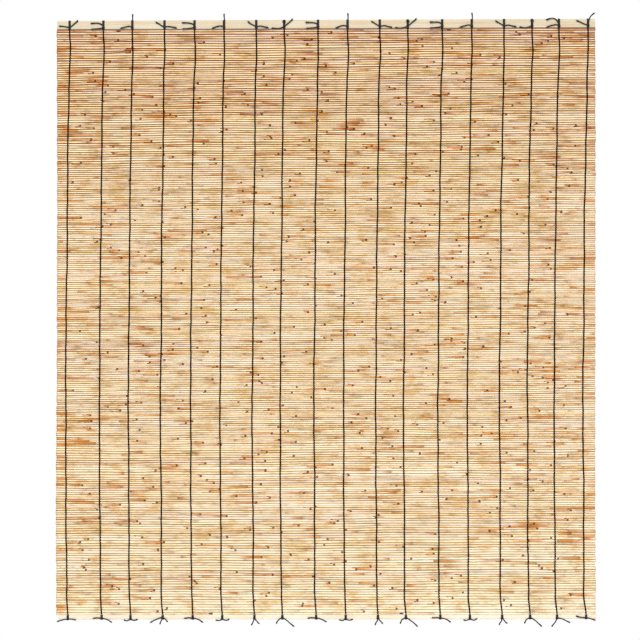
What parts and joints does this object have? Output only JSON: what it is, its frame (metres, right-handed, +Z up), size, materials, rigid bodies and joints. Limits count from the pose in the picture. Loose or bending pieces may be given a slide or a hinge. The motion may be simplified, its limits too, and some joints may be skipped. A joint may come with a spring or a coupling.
{
  "type": "reed roll-up blind",
  "caption": "Flat roll-up blind of natural reed courses bound by black warp twines between a pale top slat and a narrow bottom slat, shown fully unrolled.",
  "frame": {"origin": "middle of the top slat's back face, where it lies against a lintel or window frame", "axes": "+X along the width, +Y out of the back towards the wall, +Z up; the front faces -Y"},
  "size_m": [1.0021, 0.0073, 1.1396],
  "materials": {
    "slat_wood": "planed pale lath, unvarnished",
    "natural_reed": "split and whole reed stems, satin, cream to rust brown",
    "black_twine": "twisted black twine, matt"
  },
  "bodies": {
    "top_slat": {"top_slat": "slat_wood", "top_tie_01": "black_twine", "top_tie_02": "black_twine", "top_tie_03": "black_twine", "top_tie_04": "black_twine", "top_tie_05": "black_twine", "top_tie_06": "black_twine", "top_tie_07": "black_twine", "top_tie_08": "black_twine", "top_tie_09": "black_twine", "top_tie_10": "black_twine", "top_tie_11": "black_twine", "top_tie_12": "black_twine", "top_tie_13": "black_twine", "top_tie_14": "black_twine", "top_tie_15": "black_twine", "top_tie_16": "black_twine", "top_tie_17": "black_twine", "top_tie_18": "black_twine"},
    "mat": {"reed_mat": "natural_reed", "twine_01": "black_twine", "twine_02": "black_twine", "twine_03": "black_twine", "twine_04": "black_twine", "twine_05": "black_twine", "twine_06": "black_twine", "twine_07": "black_twine", "twine_08": "black_twine", "twine_09": "black_twine", "twine_10": "black_twine", "twine_11": "black_twine", "twine_12": "black_twine", "twine_13": "black_twine", "twine_14": "black_twine", "twine_15": "black_twine", "twine_16": "black_twine", "twine_17": "black_twine", "twine_18": "black_twine"},
    "bottom_slat": {"bottom_slat": "slat_wood", "bottom_tie_01": "black_twine", "bottom_tie_02": "black_twine", "bottom_tie_03": "black_twine", "bottom_tie_04": "black_twine", "bottom_tie_05": "black_twine", "bottom_tie_06": "black_twine", "bottom_tie_07": "black_twine", "bottom_tie_08": "black_twine", "bottom_tie_09": "black_twine", "bottom_tie_10": "black_twine", "bottom_tie_11": "black_twine", "bottom_tie_12": "black_twine", "bottom_tie_13": "black_twine", "bottom_tie_14": "black_twine", "bottom_tie_15": "black_twine", "bottom_tie_16": "black_twine", "bottom_tie_17": "black_twine", "bottom_tie_18": "black_twine"}
  },
  "joints": [
    {"name": "mat_swing", "type": "hinge", "parent": "top_slat", "child": "mat", "pos_m": [0, -0.002, -0.00895], "axis": [-1, 0, 0], "range_deg": [-45, 45]},
    {"name": "bottom_slat_swing", "type": "hinge", "parent": "mat", "child": "bottom_slat", "pos_m": [0, -0.002, -1.09711], "axis": [-1, 0, 0], "range_deg": [-45, 45]}
  ]
}
